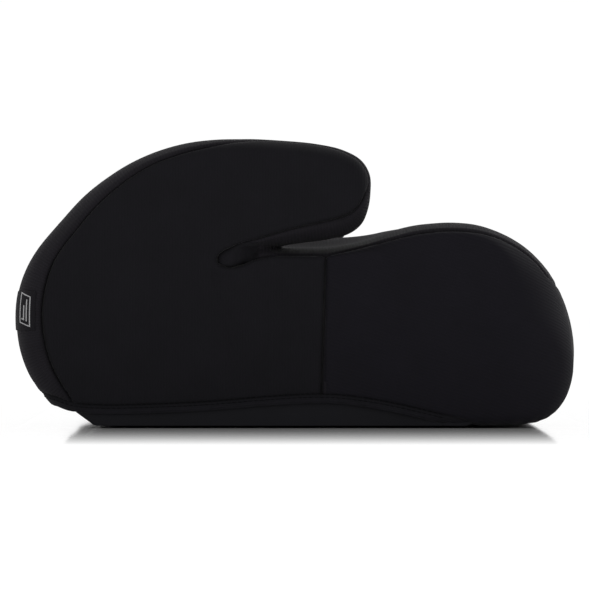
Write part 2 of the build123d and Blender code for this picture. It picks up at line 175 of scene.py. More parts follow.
class Table:
    """A field over the XZ plane, sampled every millimetre and read by interpolation."""
    X0, Z0, X1, Z1 = -260, -40, 290, 250

    def __init__(self, curve, closed=True):
        xs, zs = np.meshgrid(
            np.arange(self.X0, self.X1 + 1.0), np.arange(self.Z0, self.Z1 + 1.0), indexing="ij"
        )
        distance, side = line_distance(curve, closed, xs, zs)
        self.values = distance * (np.where(inside(curve, xs, zs), -1, 1) if closed else side)

    def __call__(self, x, z):
        x = np.clip(x - self.X0, 0, self.values.shape[0] - 1.001)
        z = np.clip(z - self.Z0, 0, self.values.shape[1] - 1.001)
        i, k = x.astype(int), z.astype(int)
        u, w = x - i, z - k
        v = self.values
        return ((v[i, k] * (1 - u) + v[i + 1, k] * u) * (1 - w)
                + (v[i, k + 1] * (1 - u) + v[i + 1, k + 1] * u) * w)


arm_outline = spline(ARM_POINTS, True)
seat_outline = spline(SEAT_POINTS, True)
ARM = Table(arm_outline)
SEAT = Table(seat_outline)
SIDE = Table(np.vstack([spline(SIDE_SEAM, False), np.array(SIDE_SEAM_STRAIGHT, float)]))
TOP = Table(spline(TOP_SEAM, False), closed=False)
HEM = Table(spline(HEM_POINTS, False), closed=False)


def ramp(a, b, x):
    """0 at a and 1 at b, with level ends."""
    t = np.clip((x - a) / (b - a), 0, 1)
    return t * t * (3 - 2 * t)


def mix(a, b, t):
    """a at 0 and b at 1."""
    return a + (b - a) * t


def rounded(d_edge, d_face, depth, width):
    """Solid between an edge field and a face field, with an elliptical edge."""
    u = np.maximum(d_edge + depth, 0) / depth
    v = np.maximum(d_face + width, 0) / width
    outside = np.hypot(u, v) - 1
    within = np.maximum(np.minimum(d_edge + depth, 0) / depth, np.minimum(d_face + width, 0) / width)
    return np.where((u > 0) | (v > 0), outside, within - 1) * np.minimum(depth, width)


def arm_field(x, y, z):
    """Armrest with the side block under it; y is the distance from the middle."""
    edge = ARM(x, z)
    # Rounding at the outline: large behind, smaller over the top and on the underside.
    depth = mix(6.5 + 4 * ramp(140, 190, z), 24, ramp(-95, -190, x) * ramp(220, 150, z))
    under = ramp(160, 148, z) * ramp(-75, -55, x)
    depth = mix(depth, mix(5, 11, ramp(-62, 10, x)), under)
    crown = CROWN * np.clip(1 - ((x + 70) / 150) ** 2, 0, 1) * np.clip(1 - ((z - 110) / 110) ** 2, 0, 1)
    face = np.abs(y - ARM_MID_Y) - ARM_HALF_T + CROWN - crown
    return rounded(edge, face, depth, 25.5)


def side_gap(x, y):
    """Distance inwards from the side faces, which turn in round big front corners."""
    u = np.clip(x - NOSE_CENTRE_X, 0, NOSE_PLAN_R - 1)
    return np.abs(y) - (HALF_W - NOSE_PLAN_R + np.sqrt(NOSE_PLAN_R ** 2 - u * u))


def seat_field(x, y, z):
    """Seat: the middle outline, lowered along its sides and bowed at the front."""
    y = np.abs(y)
    # The shoulders sink under the armrests, dip into the end of the slot and rise just in
    # front of it. Behind, the rear lip ends between the armrests.
    drop = 12.5 * ramp(88, 4, x) * (0.62 * ramp(106, 142, y) + 0.38 * ramp(140, 196, y))
    drop = drop + 7.5 * np.exp(-((x - SLOT_X) / 12.5) ** 2) * ramp(128, 150, y)
    drop = drop - 4 * np.exp(-((x + 31) / 9) ** 2) * ramp(199, 188, y) * ramp(120, 150, y)
    drop = drop * ramp(-196, -170, x) * ramp(60, 110, z)
    drop = drop + 50 * ramp(-110, -150, x) * ramp(138, 162, y) * ramp(70, 130, z)
    bow = y * y / (2 * BOW_R) * ramp(-40, 150, x) * mix(0.35, 1, ramp(5, 60, z))
    hollow_back = 9 * (np.minimum(y, 150) / 150) ** 2 * ramp(-100, -170, x)
    edge = SEAT(x + bow - hollow_back, z + drop)
    # Rounding at the edges, by how far the surface faces forwards and how high it lies.
    u, w = x - 125, z - 70
    ahead = np.maximum(u, 0) / np.maximum(np.hypot(np.maximum(u, 0), w), 1e-6)
    front = ramp(0.10, 0.96, ahead)
    over = ramp(50, 90, z)
    depth = mix(8, mix(4.5, 10.5, ramp(10, 75, x)), over)
    depth = mix(depth, mix(9, 24, over), front)
    width = mix(12, mix(30, 46, ramp(10, 75, x)), over)
    width = mix(width, mix(9, 29, over), front)
    crown = CROWN * np.clip(1 - ((x - 60) / 150) ** 2, 0, 1) * np.clip(1 - ((z - 70) / 75) ** 2, 0, 1)
    crown = crown + 0.2 * np.clip((x - 70) / 110, 0, 1) ** 2 * ramp(40, 85, z)
    face = side_gap(x, y) + CROWN - crown
    return rounded(edge, face, depth, width)


def blend(a, b, k):
    """Union of two fields with a fillet of about k."""
    h = np.clip(0.5 + 0.5 * (b - a) / k, 0, 1)
    return b + (a - b) * h - k * h * (1 - h)


def gusset_field(x, y, z):
    """Tongue of cloth that closes the end of the belt slot, hollowed towards the opening."""
    u, w = x - SLOT_X, z - SLOT_Z
    along = u * math.cos(SLOT_TILT) + w * math.sin(SLOT_TILT)
    across = w * math.cos(SLOT_TILT) - u * math.sin(SLOT_TILT)
    oval = 8.5 * (np.hypot(along / 15.5, across / 8.5) - 1)
    return np.maximum(oval, np.maximum(y - 197.5 + 8 * ramp(-53, -34, x), 148 - y))


def cover_field(x, y, z):
    """The whole cover. The armrests blend into the seat on their inner side, and at the narrow
    end of the belt slot, where the cloth is pinched together."""
    y = np.abs(y)
    wedge = ramp(-3, -15, x) * ramp(-48, -38, x) * ramp(119, 122, z) * ramp(138, 133, z)
    crisp = ramp(168, 186, y) * (1 - wedge)
    body = blend(arm_field(x, y, z), seat_field(x, y, z), mix(5.0, 0.01, crisp))
    return blend(gusset_field(x, y, z), body, 3.0)


# ---------------------------------------------------------------- surface mesh of one half
def gradient(field, p, e=0.4):
    """Gradient of a field at points, by differences over e to each side."""
    g = np.empty_like(p)
    for i in range(3):
        d = np.zeros(3)
        d[i] = e
        g[:, i] = (field(*(p + d).T) - field(*(p - d).T)) / (2 * e)
    return g


def onto_surface(field, p, rounds=2):
    """Points moved along the gradient onto the zero surface."""
    for _ in range(rounds):
        g = gradient(field, p)
        f = field(*p.T)
        p = p - g * (f / np.maximum((g ** 2).sum(1), 1e-9))[:, None].clip(-4, 4)
    return p


def surface_net(field, lo, hi, step):
    """Vertices and quads of the zero surface, for y below 0; its edge lies in the plane y = 0."""
    x = np.arange(lo[0], hi[0] + step, step)
    y = np.arange(lo[1] // step * step + step / 2, step, step)
    y = y - (y[-1] - step / 2)
    z = np.arange(lo[2], hi[2] + step, step)
    f = np.empty((len(x), len(y), len(z)))
    for j, yy in enumerate(y):
        gx, gz = np.meshgrid(x, z, indexing="ij")
        f[:, j] = field(gx, np.full_like(gx, yy), gz)
    axes = (x, y, z)
    cells = tuple(n - 1 for n in f.shape)
    total, count = np.zeros(cells + (3,)), np.zeros(cells)
    quads = []
    for axis in range(3):
        near = [slice(None)] * 3
        far = [slice(None)] * 3
        near[axis], far[axis] = slice(0, -1), slice(1, None)
        f0, f1 = f[tuple(near)], f[tuple(far)]
        cross = (f0 < 0) != (f1 < 0)
        at = np.argwhere(cross)
        t = f0[cross] / (f0[cross] - f1[cross])
        point = np.stack([axes[i][at[:, i]] for i in range(3)], 1).astype(float)
        point[:, axis] += t * step
        p, q = [i for i in range(3) if i != axis]
        around = []
        for dp, dq in ((-1, -1), (0, -1), (0, 0), (-1, 0)):
            cell = at.copy()
            cell[:, p] += dp
            cell[:, q] += dq
            good = np.all((cell >= 0) & (cell < np.array(cells)), axis=1)
            key = np.ravel_multi_index(np.clip(cell, 0, np.array(cells) - 1).T, cells)
            key = np.where(good, key, -1)
            around.append(key)
            flat = key[good]
            np.add.at(count.reshape(-1), flat, 1)
            np.add.at(total.reshape(-1, 3), flat, point[good])
        around = np.stack(around, 1)
        full = (around >= 0).all(1)
        outward = (f0[cross] < 0) != (axis == 1)
        ring = np.where(outward[:, None], around, around[:, ::-1])
        quads.append(ring[full])
    quads = np.vstack(quads)
    used, quads = np.unique(quads, return_inverse=True)
    verts = total.reshape(-1, 3)[used] / count.reshape(-1)[used][:, None]
    middle = np.unravel_index(used, cells)[1] == cells[1] - 1
    verts[middle, 1] = 0
    return verts, quads.reshape(-1, 4), middle


def relax(field, verts, quads, middle, rounds):
    """Even out the mesh along the surface."""
    e = np.vstack([quads[:, [i, (i + 1) % 4]] for i in range(4)])
    e = np.unique(np.sort(e, 1), axis=0)
    n = len(verts)
    degree = np.bincount(e.ravel(), minlength=n)
    for _ in range(rounds):
        mean = np.stack([
            np.bincount(e[:, 0], verts[e[:, 1], i], n) + np.bincount(e[:, 1], verts[e[:, 0], i], n)
            for i in range(3)
        ], 1) / degree[:, None]
        verts = onto_surface(field, verts + 0.6 * (mean - verts), 1)
        verts[middle, 1] = 0
    verts = onto_surface(field, verts, 2)
    verts[middle, 1] = 0
    return verts


# ---------------------------------------------------------------- seams
# Each seam is the zero of a level, which is about the distance from it, within a region.


def side_level(p):
    return SIDE(p[:, 0], p[:, 2])


def top_level(p):
    return TOP(p[:, 0], p[:, 2])


def valley_level(p):
    """Where the inner face of an armrest meets the seat."""
    x, y, z = p[:, 0], np.abs(p[:, 1]), p[:, 2]
    return (arm_field(x, y, z) - seat_field(x, y, z)) / 1.2


def hem_level(p):
    return -HEM(p[:, 0], p[:, 2])


def stitch_level(p):
    """Upper edge of the hem elastic."""
    return hem_level(p) - HEM_W


def slot_level(p):
    return p[:, 0] - SLOT_END_X


def back_level(p):
    return np.abs(p[:, 1]) - BACK_Y


def lip_level(p):
    return p[:, 0] - LIP_SEAM_X


def near_side(p):
    return np.abs(p[:, 1]) > 143


def near_top(p):
    return p[:, 0] > 12.5


def near_valley(p):
    y = np.abs(p[:, 1])
    return (y > 120) & (y < 152) & (p[:, 2] > 112) & (p[:, 0] > -190) & (p[:, 0] < 30)


def anywhere(p):
    return np.ones(len(p), bool)


def near_slot(p):
    return (np.abs(p[:, 1]) > 141) & (p[:, 2] > 110) & (p[:, 2] < 134) & (side_level(p) > -0.01)


def near_back(p):
    return (p[:, 0] < -150) & (p[:, 2] < 165)


def near_lip(p):
    return (np.abs(p[:, 1]) < BACK_Y + 0.01) & (p[:, 2] > 130)


def side_pull(p):
    """The side seam runs out of sight over the top of the armrest, where it is nearly flush."""
    x, z = p[:, 0], p[:, 2]
    return (1 - 0.75 * ramp(-75, -45, x) * ramp(165, 188, z)) * mix(1, 0.7, ramp(108, 130, z))


def top_pull(p):
    return 1 - 0.75 * ramp(168, 182, p[:, 0])


def full_pull(p):
    return np.ones(len(p))


# Level, region, and how hard the stitching pulls the cloth in, where it makes a groove; this also sets
# how much painted shade lies in the groove.
SEAMS = (
    (side_level, near_side, side_pull), (top_level, near_top, top_pull),
    (valley_level, near_valley, full_pull), (slot_level, near_slot, None),
    (back_level, near_back, full_pull), (lip_level, near_lip, full_pull),
    (stitch_level, anywhere, None),
)


def tangent_gradient(level, p):
    """Gradient of a level along the cover's surface."""
    n = gradient(cover_field, p)
    n /= np.maximum(np.linalg.norm(n, axis=1), 1e-9)[:, None]
    g = gradient(lambda *q: level(np.stack(q, 1)), p)
    return g - n * (g * n).sum(1)[:, None]


def cut(points, faces, fixed, level, offset, where):
    """Split faces along level = offset. Vertices close to the line move onto it."""
    value = level(points) - offset
    ok = where(points)
    close = np.flatnonzero(ok & (np.abs(value) < 0.28 * STEP))
    if len(close):
        t = tangent_gradient(level, points[close])
        size = (t ** 2).sum(1)
        free = ~fixed[close] & (size > 0.15)
        step = (value[close] / np.maximum(size, 0.15)).clip(-0.5 * STEP, 0.5 * STEP)
        moved = onto_surface(cover_field, points[close] - t * step[:, None], 1)
        moved[:, 1] = np.where(points[close, 1] == 0, 0, moved[:, 1])
        points[close[free]] = moved[free]
        value[close[free | (np.abs(value[close]) < 0.12 * STEP)]] = 0
    sizes = np.array([len(f) for f in faces])
    flat = np.concatenate(faces)
    start = np.concatenate([[0], np.cumsum(sizes)[:-1]])
    owner = np.repeat(np.arange(len(faces)), sizes)
    after = np.arange(len(flat)) + 1
    after[start + sizes - 1] = start
    i, j = flat, flat[after]
    crossing = (value[i] * value[j] < 0) & ok[i] & ok[j]
    pairs = np.unique(np.sort(np.stack([i, j], 1)[crossing], 1), axis=0)
    new = {}
    if len(pairs):
        a, b = pairs.T
        t = (value[a] / (value[a] - value[b]))[:, None]
        added = onto_surface(cover_field, points[a] * (1 - t) + points[b] * t, 1)
        added[:, 1] = np.where((points[a, 1] == 0) & (points[b, 1] == 0), 0, added[:, 1])
        new = {(int(p), int(q)): len(points) + k for k, (p, q) in enumerate(pairs)}
        points = np.vstack([points, added])
        value = np.concatenate([value, np.zeros(len(added))])
        ok = np.concatenate([ok, np.ones(len(added), bool)])
    fixed = np.concatenate([fixed, np.zeros(len(points) - len(fixed), bool)])
    fixed |= (value == 0) & ok
    plus = np.bincount(owner, (value[i] > 0) & ok[i], len(faces)) > 0
    minus = np.bincount(owner, (value[i] < 0) & ok[i], len(faces)) > 0
    touched = np.zeros(len(faces), bool)
    touched[owner[crossing]] = True
    keep = [faces[k] for k in np.flatnonzero(~(touched | (plus & minus)))]
    for k in np.flatnonzero(touched | (plus & minus)):
        ring = []
        for p, q in zip(faces[k], faces[k][1:] + faces[k][:1]):
            ring.append(p)
            middle_one = new.get((min(p, q), max(p, q)))
            if middle_one is not None:
                ring.append(middle_one)
        zero = [m for m, v in enumerate(ring) if value[v] == 0 and ok[v]]
        if len(zero) == 2 and zero[1] - zero[0] > 1 and zero[1] - zero[0] < len(ring) - 1:
            one = ring[zero[0]:zero[1] + 1]
            two = ring[zero[1]:] + ring[:zero[0] + 1]
            mean = [np.mean([value[v] for v in part[1:-1]]) for part in (one, two)]
            if mean[0] * mean[1] < 0:
                keep += [one, two]
                continue
        keep.append(ring)
    return points, keep, fixed


# ---------------------------------------------------------------- shape at the seams
def relief(p):
    """How far the cloth stands off the plain surface (seam grooves, puffs, gathers, pucker), and
    the painted shade of its colour, from 1 of painted shade in a seam groove to below 0 where
    it is a painted highlight."""
    x, y, z = p[:, 0], np.abs(p[:, 1]), p[:, 2]
    hem = hem_level(p)
    gap = np.full(len(p), 1e3)
    height, fold = np.zeros(len(p)), np.zeros(len(p))
    # Seam grooves, with the cloth puffed a little beside them, and painted shade along the bottom of
    # each groove.
    for level, where, pull in SEAMS:
        if pull is None:
            continue
        near = np.flatnonzero(where(p) & (np.abs(level(p)) < 14) & (hem > HEM_W - 0.01))
        if len(near) == 0:
            continue
        at = p[near]
        slope = np.linalg.norm(tangent_gradient(level, at), axis=1)
        distance = np.abs(level(at)) / np.maximum(slope, 0.3)
        gap[near] = np.minimum(gap[near], distance)
        height[near] = np.minimum(height[near], -2.4 * pull(at) * np.exp(-(distance / 1.3) ** 2))
        fold[near] = np.maximum(fold[near], pull(at) * np.exp(-(distance / 1.5) ** 2))
    height += 0.25 * np.exp(-((gap - 4.6) / 2.6) ** 2)
    # Broad unevenness away from the seams.
    calm = 1 - np.exp(-(gap / 9) ** 2)
    broad = np.sin(x / 31 + 1.3) * np.sin(z / 23 + 0.4) * np.cos(y / 41)
    height += 0.35 * calm * (broad + 0.6 * np.sin(x / 17 + z / 21 - y / 27 + 2))
    # Gathers of the hem elastic, its stitched edge, and the cloth drawn in above it.
    along = x - y
    wave = np.sin(along / 1.55 + 1.9 * np.sin(along / 8.5)) * (0.7 + 0.3 * np.sin(along / 13 + 1))
    height += 0.5 * wave * ramp(HEM_W, 0, hem) * (hem > -2)
    height -= 0.7 * np.exp(-((hem - HEM_W) / 1.2) ** 2)
    height += 0.3 * np.sin(along / 2.1 + 2.2 * np.sin(along / 19)) * np.exp(-((hem - 11) / 5) ** 2)
    # Pucker under the belt slot.
    gather = np.sin(x / 1.35 + 1.1 * np.sin(x / 5)) * np.exp(-((z - 113) / 8) ** 2)
    height += 0.28 * gather * ramp(-42, -34, x) * ramp(13, 6, x) * (y > 190)
    # Painted shade at the hem edge, on the seat's shoulder under the armrest, on the underside of the
    # armrest and at the closed end of the slot; a painted highlight on the seat just in front of the
    # slot.
    fold = np.maximum(fold, 0.7 * np.exp(-((hem - HEM_W) / 1.3) ** 2))
    # Painted shade on the seat's shoulder under the armrest, standing in for the armrest's shadow.
    under_arm_shade = ramp(75, 40, x) * ramp(-30, 5, x) * ramp(123.5, 127, z) * (y > 150) * (z < 140)
    arm, seat = arm_field(x, y, z), seat_field(x, y, z)
    on_arm, on_seat = arm < seat, arm > seat
    fold = np.maximum(fold, 0.72 * under_arm_shade * on_seat)
    outer = y > ARM_MID_Y - 0.5
    # Painted shade on the underside of the armrest above the slot, darkening it to the tone of the side
    # panel.
    arm_underside_shade = ramp(-45, -25, x) * ramp(47, 36, x) * ramp(158, 148, z) * outer * (side_level(p) > 0)
    fold = np.maximum(fold, 0.35 * arm_underside_shade * on_arm)
    # Painted highlight: the seat's edge just in front of the slot is made lighter, standing in for
    # light falling into the wedge under the armrest.
    slot_tip_highlight = np.exp(-((x + 24) / 9) ** 2) * ramp(119, 122, z) * (z < 131) * outer * (x > SLOT_END_X)
    fold = fold - 1.5 * slot_tip_highlight * (fold < 0.3) * on_seat
    # Painted shadow at the closed end of the slot.
    slot_end_shade = np.exp(-((x + 37) / 3.5) ** 2) * (y > 180) * ramp(117, 119, z) * ramp(129, 126, z)
    fold = np.maximum(fold, 0.6 * slot_end_shade)
    return height, fold


def label_faces(p):
    """Which panel each point of the surface belongs to."""
    x, y, z = p[:, 0], np.abs(p[:, 1]), p[:, 2]
    on_arm = arm_field(x, y, z) < seat_field(x, y, z)
    in_seam = side_level(p) < 0
    below_top = top_level(p) > 0
    hem = hem_level(p)
    name = np.full(len(p), "cover_seat_top", dtype=object)
    name[(x > 14) & below_top & ~(in_seam & (y > 143))] = "cover_front_wrap"
    name[on_arm & (y > 141)] = "cover_armrest_band"
    name[(x < LIP_SEAM_X) & (y < BACK_Y)] = "cover_back"
    name[(x < -110) & (z < 60) & (y < BACK_Y)] = "cover_back"
    name[(x < -110) & (z < 100) & (y >= BACK_Y)] = "cover_armrest_band"
    name[on_arm & in_seam & (y < ARM_MID_Y) & (y > 120)] = "cover_armrest_inner"
    name[in_seam & (y > ARM_MID_Y)] = "cover_side"
    slot = (x < SLOT_END_X) & (x > -70) & (z > 108) & (z < 132) & (y > 141) & ~in_seam
    name[slot] = "slot_gusset"
    name[hem < HEM_W] = "hem_elastic"
    name[hem < 0] = ""
    return name


def arc_length(curve, x, z):
    """Distance run along a curve at its nearest point to each (x, z)."""
    a, ab = curve[:-1], np.diff(curve, axis=0)
    length = np.hypot(*ab.T)
    run = np.concatenate([[0], np.cumsum(length)])
    best, out = np.full(len(x), 1e9), np.zeros(len(x))
    for k in range(len(a)):
        px, pz = x - a[k, 0], z - a[k, 1]
        t = np.clip((px * ab[k, 0] + pz * ab[k, 1]) / length[k] ** 2, 0, 1)
        d = np.hypot(px - t * ab[k, 0], pz - t * ab[k, 1])
        near = d < best
        best[near], out[near] = d[near], (run[k] + t * length[k])[near]
    return out


seat_arc, arm_arc = (np.vstack([c, c[:1]]) for c in (seat_outline, arm_outline))


def round_the_front(p):
    """Distance run round the front corner, as seen from above."""
    x, y = p[:, 0], np.abs(p[:, 1])
    centre_y = HALF_W - NOSE_PLAN_R
    angle = np.arctan2(np.maximum(x - NOSE_CENTRE_X, 0), np.maximum(y - centre_y, 1e-6))
    run = np.where(x < NOSE_CENTRE_X, x, NOSE_CENTRE_X + NOSE_PLAN_R * angle)
    front = (y < centre_y) & (x > NOSE_CENTRE_X)
    return np.where(front, NOSE_CENTRE_X + NOSE_PLAN_R * math.pi / 2 + centre_y - y, run)


# Directions of the cloth on each panel: across and along its ribs, in millimetres.
CLOTH_MAP = {
    "cover_side": lambda p: (p[:, 0], p[:, 2]),
    "cover_armrest_inner": lambda p: (p[:, 0], p[:, 2]),
    "cover_front_wrap": lambda p: (round_the_front(p), p[:, 2]),
    "cover_seat_top": lambda p: (p[:, 1], arc_length(seat_arc, p[:, 0], p[:, 2])),
    "cover_armrest_band": lambda p: (p[:, 1], arc_length(arm_arc, p[:, 0], p[:, 2])),
    "cover_back": lambda p: (p[:, 1], p[:, 2]),
    "slot_gusset": lambda p: (p[:, 1], p[:, 0]),
    "hem_elastic": lambda p: (p[:, 0] - np.abs(p[:, 1]), hem_level(p)),
}


# ---------------------------------------------------------------- objects
def make_object(name, points, faces, uv=None, fold=None, smooth=True):
    """Mesh object from points in millimetres, with its cloth map and painted shade."""
    mesh = bpy.data.meshes.new(name)
    mesh.from_pydata((np.asarray(points) * MM).tolist(), [], [list(map(int, f)) for f in faces])
    mesh.polygons.foreach_set("use_smooth", [smooth] * len(mesh.polygons))
    if uv is not None:
        layer = mesh.uv_layers.new(name="cloth")
        loops = np.empty(len(mesh.loops), int)
        mesh.loops.foreach_get("vertex_index", loops)
        layer.data.foreach_set("uv", (np.stack(uv, 1)[loops] * MM).ravel())
    if fold is not None:
        mesh.attributes.new("fold", "FLOAT", "POINT").data.foreach_set("value", fold)
    mesh.update()
    obj = bpy.data.objects.new(name, mesh)
    bpy.context.collection.objects.link(obj)
    return obj


def extract(points, faces):
    """The points that some faces use, and the faces numbered for them."""
    used = np.unique(np.concatenate(faces))
    index = np.zeros(len(points), int)
    index[used] = np.arange(len(used))
    return used, [[index[v] for v in f] for f in faces]


def thicken(obj, thickness):
    """Gives a panel its thickness on the inside."""
    solid = obj.modifiers.new("cloth", "SOLIDIFY")
    solid.thickness = thickness * MM
    solid.offset = -1
    solid.use_even_offset = False


# ---------------------------------------------------------------- build the cover
points, quads, middle = surface_net(cover_field, (-216, -208, -6), (216, 0, 216), STEP)
points = relax(cover_field, points, quads, middle, 6)
faces = quads.tolist()
fixed = middle.copy()
for level, where, _ in SEAMS + ((hem_level, anywhere, None),):
    points, faces, fixed = cut(points, faces, fixed, level, 0.0, where)
for offset in SEAM_OFFSETS:
    for level, where, _ in SEAMS:
        points, faces, fixed = cut(points, faces, fixed, level, offset, where)
centres = np.array([points[f].mean(0) for f in faces])
names = label_faces(centres)
normals = gradient(cover_field, points)
normals /= np.linalg.norm(normals, axis=1)[:, None]
height, fold = relief(points)
shaped = points + normals * height[:, None]
shaped[points[:, 1] == 0, 1] = 0

# The right half and its mirror image, which share the points on the middle plane.
n = len(points)
mirror = np.where(points[:, 1] == 0, np.arange(n), np.arange(n) + n)
both = np.vstack([shaped, shaped * (1, -1, 1)])
rest = np.vstack([points, points * (1, -1, 1)])
panels = {}
for name in CLOTH_MAP:
    chosen = [faces[k] for k in np.flatnonzero(names == name)]
    flipped = [[int(mirror[v]) for v in f[::-1]] for f in chosen]
    if name in ("cover_seat_top", "cover_front_wrap", "cover_back", "hem_elastic"):
        sides = {name: chosen + flipped}
    else:
        sides = {name + "_right": chosen, name + "_left": flipped}
    for full, part in sides.items():
        used, local = extract(both, part)
        cloth_map = CLOTH_MAP[name](rest[used])
        panels[full] = make_object(full + ".cloth", both[used], local, cloth_map, fold[used % n])
        thicken(panels[full], CLOTH_T)


# ---------------------------------------------------------------- materials
def node(tree, kind, inputs=None, **settings):
    """Shader node with its settings, and its inputs set or linked."""
    made = tree.nodes.new("ShaderNode" + kind)
    for key, value in settings.items():
        setattr(made, key, value)
    for key, value in (inputs or {}).items():
        if isinstance(value, bpy.types.NodeSocket):
            tree.links.new(value, made.inputs[key])
        else:
            made.inputs[key].default_value = value
    return made


def calc(tree, operation, *values):
    return node(tree, "Math", dict(enumerate(values)), operation=operation).outputs[0]


def new_material(name):
    material = bpy.data.materials.new(name)
    material.use_nodes = True
    tree = material.node_tree
    return material, tree, tree.nodes["Principled BSDF"]


def tint(tree, factor, dark, light):
    """Colour between dark and light by a factor."""
    ramp_node = node(tree, "ValToRGB", {"Fac": factor})
    for stop, colour in zip(ramp_node.color_ramp.elements, (dark, light)):
        stop.color = (*colour, 1)
    return ramp_node.outputs["Color"]


def knit(name, dark, light, pitch, angle, waver, relief_mm, sheen=0.035, ribs=0.25):
    """Ribbed knit: ribs, pitch millimetres apart, with fine stitches along them. The ribs turn
    by angle and wander by waver millimetres."""
    material, tree, shader = new_material(name)
    uv = node(tree, "UVMap", uv_map="cloth").outputs[0]
    turned = node(tree, "VectorRotate", {"Vector": uv, "Angle": angle}, rotation_type="Z_AXIS")
    turned = turned.outputs[0]
    drift = node(tree, "TexNoise", {"Vector": turned, "Scale": 26.0, "Detail": 2.0}).outputs["Fac"]
    split = node(tree, "SeparateXYZ", {"Vector": turned})
    along, across = split.outputs[0], split.outputs[1]
    drift = calc(tree, "MULTIPLY", calc(tree, "SUBTRACT", drift, 0.5), waver * MM)
    across = calc(tree, "ADD", across, drift)
    rib_turn = calc(tree, "MULTIPLY", across, 2 * math.pi / (pitch * MM))
    rib = calc(tree, "MULTIPLY_ADD", calc(tree, "SINE", rib_turn), 0.5, 0.5)
    half_rib = calc(tree, "SINE", calc(tree, "MULTIPLY", rib_turn, 0.5))
    slant = calc(tree, "MULTIPLY", calc(tree, "ABSOLUTE", half_rib), 1.6)
    loop_turn = calc(tree, "MULTIPLY_ADD", along, 2 * math.pi / (1.1 * MM), slant)
    loop = calc(tree, "MULTIPLY_ADD", calc(tree, "SINE", loop_turn), 0.5, 0.5)
    fibre = node(tree, "TexNoise", {"Vector": uv, "Scale": 2600.0, "Detail": 3.0}).outputs["Fac"]
    patch = node(tree, "TexNoise", {"Vector": uv, "Scale": 34.0, "Detail": 3.0}).outputs["Fac"]
    height = calc(tree, "MULTIPLY", rib, 0.65)
    height = calc(tree, "MULTIPLY_ADD", calc(tree, "MULTIPLY", rib, loop), 0.35, height)
    height = calc(tree, "MULTIPLY_ADD", fibre, 0.25, height)
    bump = node(tree, "Bump", {"Strength": 1.0, "Distance": relief_mm * MM, "Height": height})
    tree.links.new(bump.outputs[0], shader.inputs["Normal"])
    shade = calc(tree, "MULTIPLY_ADD", rib, ribs, 0.2 - ribs / 2)
    shade = calc(tree, "MULTIPLY_ADD", fibre, 0.35, shade)
    shade = calc(tree, "MULTIPLY_ADD", patch, 0.45, calc(tree, "SUBTRACT", shade, 0.12))
    # Painted shade carried on the mesh darkens the colour in seam grooves and shaded places; below 0 it
    # is a painted highlight.
    fold = node(tree, "Attribute", attribute_name="fold").outputs["Fac"]
    shade = calc(tree, "MULTIPLY", shade, calc(tree, "MULTIPLY_ADD", fold, -0.95, 1.0))
    tree.links.new(tint(tree, shade, dark, light), shader.inputs["Base Color"])
    rough = calc(tree, "MULTIPLY_ADD", fibre, 0.2, 0.72)
    tree.links.new(rough, shader.inputs["Roughness"])
    shader.inputs["Sheen Weight"].default_value = sheen
    shader.inputs["Sheen Roughness"].default_value = 0.45
    shader.inputs["Specular IOR Level"].default_value = 0.14
    return material


def moulded(name, dark, light, roughness, grain, grain_mm, specular=0.3):
    """Moulded plastic, rubber or metal with a fine grain and slight wear."""
    material, tree, shader = new_material(name)
    where = node(tree, "TexCoord").outputs["Object"]
    fine = node(tree, "TexNoise", {"Vector": where, "Scale": grain, "Detail": 4.0}).outputs["Fac"]
    broad = node(tree, "TexNoise", {"Vector": where, "Scale": 18.0, "Detail": 3.0}).outputs["Fac"]
    tree.links.new(tint(tree, broad, dark, light), shader.inputs["Base Color"])
    tree.links.new(calc(tree, "MULTIPLY_ADD", fine, 0.2, roughness), shader.inputs["Roughness"])
    bump = node(tree, "Bump", {"Strength": 0.6, "Distance": grain_mm * MM, "Height": fine})
    tree.links.new(bump.outputs[0], shader.inputs["Normal"])
    shader.inputs["Specular IOR Level"].default_value = specular
    return material


def grey(value, warm=0.0, cool=0.0):
    """A grey with some more red (warm) and blue (cool) in it."""
    return value * (1 + warm), value, value * (1 + cool)


UP, LEVEL = math.pi / 2, 0.0
# Name, darkest and lightest colour, then for cloth: pitch, angle, waver, relief, sheen, ribs;
# and for mouldings: roughness, grain, its depth, gloss.
side_cloth = knit("side_knit", grey(0.003, 0.05, 0.30), grey(0.0088, 0.08, 0.38),
                  2.0, UP, 0.5, 0.12, 0.03, 0.12)
front_cloth = knit("front_knit", grey(0.0033, 0.10, 0.50), grey(0.0080, 0.13, 0.58),
                   2.3, math.radians(17), 3.0, 0.12, 0.03, 0.2)
rib_cloth = knit("ribbed_knit", grey(0.004, 0.12, 0.30), grey(0.0150, 0.14, 0.33),
                 2.4, LEVEL, 0.4, 0.22, 0.02, 0.22)
hem_cloth = knit("elastic", grey(0.003, 0.04, 0.3), grey(0.0125, 0.05, 0.34),
                 1.5, LEVEL, 0.2, 0.2, 0.03, 0.15)
label_cloth = knit("label_satin", grey(0.004, 0.1, 0.3), grey(0.011, 0.1, 0.3),
                   0.8, LEVEL, 0.1, 0.1, 0.03)
silver_thread = knit("silver_thread", grey(0.32), grey(0.55, cool=0.03), 0.7, UP, 0.1, 0.12, 0.1)
black_thread = moulded("thread", grey(0.003, cool=0.2), grey(0.005, cool=0.2),
                       0.7, 3000.0, 0.05, 0.08)
tray_plastic = moulded("base_plastic", grey(0.0056, 0, 0.32), grey(0.0080, 0, 0.36),
                       0.45, 2400.0, 0.03, 0.12)
shell_plastic = moulded("shell_plastic", grey(0.03), grey(0.04), 0.5, 2000.0, 0.03)
pad_rubber = moulded("pad_rubber", grey(0.012), grey(0.02), 0.75, 1500.0, 0.05)
rivet_plastic = moulded("rivet_plastic", grey(0.01), grey(0.014), 0.4, 1200.0, 0.02)
